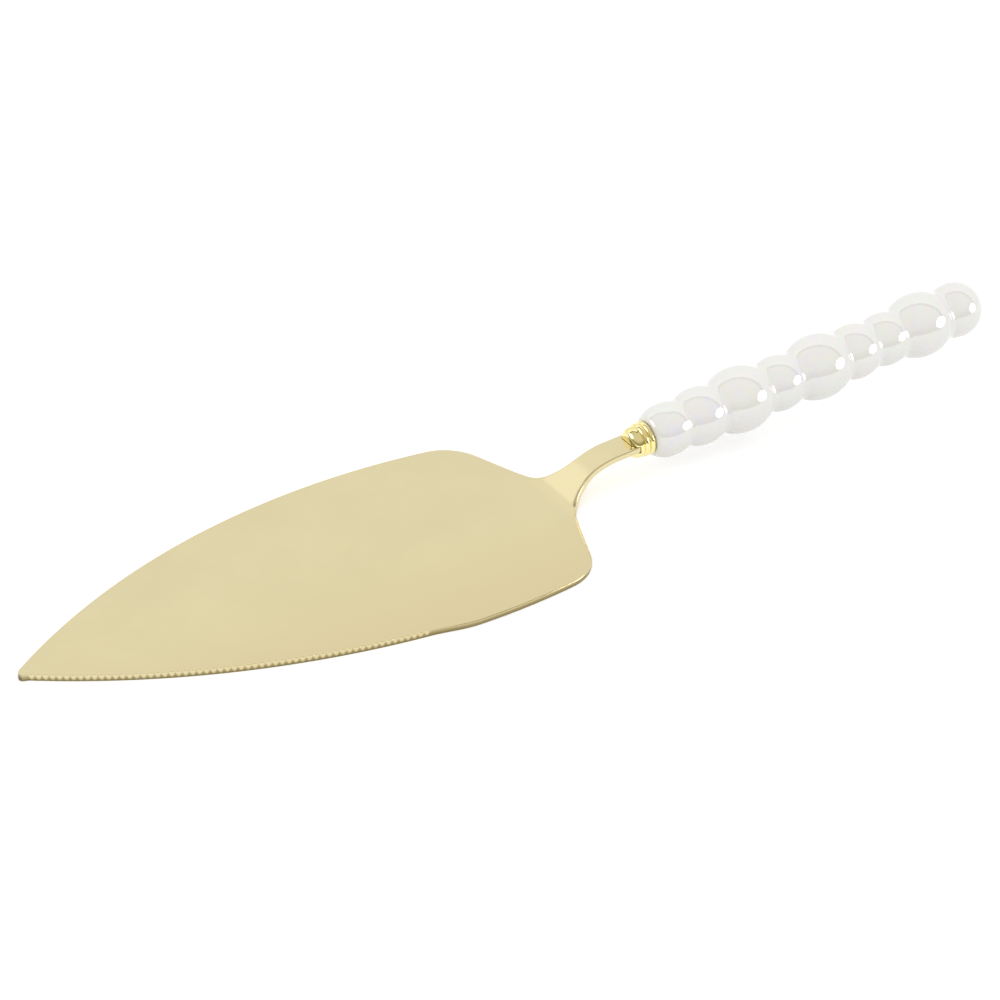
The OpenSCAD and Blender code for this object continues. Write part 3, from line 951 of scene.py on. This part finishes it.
def white_table():
    """White paper: it keeps the object's shadow, and what looks at it sees it lifted to white.

    Polished metal and glaze see it end a little way in front of the object, as a lit
    sheet on a dark table does, and see it darkened by painted shade where it nearly touches them.
    """
    material = bpy.data.materials.new("white_table")
    material.use_nodes = True
    tree = material.node_tree
    shader = tree.nodes["Principled BSDF"].inputs
    shader["Roughness"].default_value = 0.9
    shader["Specular IOR Level"].default_value = 0.0
    shader["Emission Color"].default_value = (1, 1, 1, 1)
    path = add(tree, "ShaderNodeLightPath").outputs
    place = add(tree, "ShaderNodeTexCoord").outputs["Object"]
    ahead = add(tree, "ShaderNodeSeparateXYZ", {"Vector": place}).outputs["Y"]
    off = ramp_value(tree, ahead, -1.1 * PAPER_FRONT, -PAPER_FRONT, 1.0, 0.0)
    # Painted shade: polished faces see the paper darkened where their rays to it are short, as if it lay in
    # their shadow
    close = ramp_value(tree, path["Ray Length"], 0.0, CONTACT_REACH, CONTACT_SHADE, 0.0)
    dim = sums(tree, "MULTIPLY", sums(tree, "MAXIMUM", off, close), path["Is Glossy Ray"])
    white = (TABLE_WHITE, TABLE_WHITE, TABLE_WHITE, 1)
    shade = (*(ROOM_LOW * channel for channel in ROOM_TINT[:3]), 1)
    fill(tree, shader["Base Color"], blend_colour(tree, dim, white, shade))
    direct = sums(tree, "MAXIMUM", path["Is Camera Ray"], path["Is Glossy Ray"])
    direct = sums(tree, "MAXIMUM", direct, path["Is Transmission Ray"])
    lit = sums(tree, "SUBTRACT", direct, dim)
    fill(tree, shader["Emission Strength"], sums(tree, "MULTIPLY", lit, TABLE_LIFT))
    return material


table = bpy.data.objects.new("table", disc("table", TABLE_R))
bpy.context.scene.collection.objects.link(table)
table.data.materials.append(white_table())
print("table of", TABLE_R, "m radius")

# %% The tent and the room
WHITE = (1, 1, 1, 1)
# The tent's brightness, from low to overhead, and the heights between which it rises
TENT = 1.0
TENT_TOP = 1.15
TOP_FROM = 0.5
TOP_TO = 0.95
# A brighter patch of the tent: how much brighter, which way, and the cosine at its rim
GLOW = 0.26
GLOW_WAY = (-0.374, 0.715, 0.590)
GLOW_RIM = 0.95
# The room overhead, and the heights at which it is brightest and loses its tint
ROOM_HIGH = 0.72
ROOM_BRIGHT_AT = 0.6
ROOM_PLAIN_AT = 0.45
ROOM_PLAIN = (1.0, 0.96, 0.88, 1)
# The tent's opening: which way it faces, its edge, the dark hem's width, and how softly each fades
TENT_SIDE = (0.49, 0.76, -0.42)
TENT_EDGE = -0.04
HEM = 0.11
HEM_FADE = 0.01
EDGE_FADE = 0.005


def cosine(tree, way, toward):
    """Dot product of a direction with a fixed one: 1 straight that way, 0 square to it."""
    return add(tree, "ShaderNodeVectorMath", {0: way, 1: toward}, operation="DOT_PRODUCT").outputs["Value"]


def blend_value(tree, share, first, second):
    """The first value where the share is 0, the second where it is 1."""
    return add(tree, "ShaderNodeMix", {0: share, 2: first, 3: second}, data_type="FLOAT").outputs[0]


def studio_world():
    """Plain light of strength 1 on everything, and a picture of the studio for polished faces.

    The picture goes by direction: a white tent behind and above, brighter overhead and
    round GLOW_WAY, and towards the viewer a room that is warm and dim at the horizon and
    brighter overhead. The tent ends in a straight dark hem, where the direction dotted
    with TENT_SIDE falls below TENT_EDGE.
    """
    world = bpy.data.worlds.new("studio")
    world.use_nodes = True
    tree = world.node_tree
    way = add(tree, "ShaderNodeTexCoord").outputs["Generated"]
    height = add(tree, "ShaderNodeSeparateXYZ", {"Vector": way}).outputs["Z"]
    side = cosine(tree, way, TENT_SIDE)
    tent = ramp_value(tree, height, TOP_FROM, TOP_TO, TENT, TENT_TOP)
    nearness = cosine(tree, way, GLOW_WAY)
    tent = sums(tree, "ADD", tent, ramp_value(tree, nearness, GLOW_RIM, 1.0, 0.0, GLOW))
    room = ramp_value(tree, height, 0.0, ROOM_BRIGHT_AT, ROOM_LOW, ROOM_HIGH)
    clear = ramp_value(tree, side, TENT_EDGE - HEM - HEM_FADE, TENT_EDGE - HEM, 1.0, 0.0)
    inside = ramp_value(tree, side, TENT_EDGE - EDGE_FADE, TENT_EDGE + EDGE_FADE)
    outside = sums(tree, "MULTIPLY", room, clear)
    picture = blend_value(tree, inside, outside, tent)
    polish = add(tree, "ShaderNodeLightPath").outputs["Is Glossy Ray"]
    warmth = blend_colour(tree, ramp_value(tree, height, 0.0, ROOM_PLAIN_AT), ROOM_TINT, ROOM_PLAIN)
    seen = blend_colour(tree, inside, warmth, WHITE)
    background = tree.nodes["Background"].inputs
    fill(tree, background["Strength"], blend_value(tree, polish, 1.0, picture))
    fill(tree, background["Color"], blend_colour(tree, polish, WHITE, seen))
    bpy.context.scene.world = world
    print("studio world: tent", TENT, "to", TENT_TOP, "and room", ROOM_LOW, "to", ROOM_HIGH)


studio_world()

# %% Two oval soft lamps
LAMP_DISTANCE = 0.9


def soft_lamp(name, node, azimuth, elevation, width, height, radiance):
    """An oval lamp aimed at a node, seen only by polish and glaze; its power is radiance x pi x area."""
    data = bpy.data.lights.new(name, "AREA")
    data.shape, data.size, data.size_y = "ELLIPSE", width, height
    data.energy = radiance * math.pi * (math.pi / 4 * width * height)
    lamp = bpy.data.objects.new(name, data)
    lamp.visible_diffuse = False
    bpy.context.scene.collection.objects.link(lamp)
    low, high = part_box(node)
    way = heading(azimuth, elevation)
    aimed = (-way).to_track_quat("-Z", "Y").to_matrix().to_4x4()
    lamp.matrix_world = Matrix.Translation((low + high) / 2 + way * LAMP_DISTANCE) @ aimed
    print(name, "power", round(data.energy, 2), "W")
    return lamp


soft_lamp("right_lamp", "handle", azimuth=130.5, elevation=12.0, width=0.52, height=0.44, radiance=5.0)
left_lamp = soft_lamp(
    "left_lamp", "ferrule", azimuth=-72.0, elevation=29.0, width=0.65, height=0.48, radiance=3.0)
lit_from_left = bpy.data.collections.new("lit_from_left")
for piece in (slotted_ferrule, bead_handle):
    lit_from_left.objects.link(piece)
left_lamp.light_linking.receiver_collection = lit_from_left
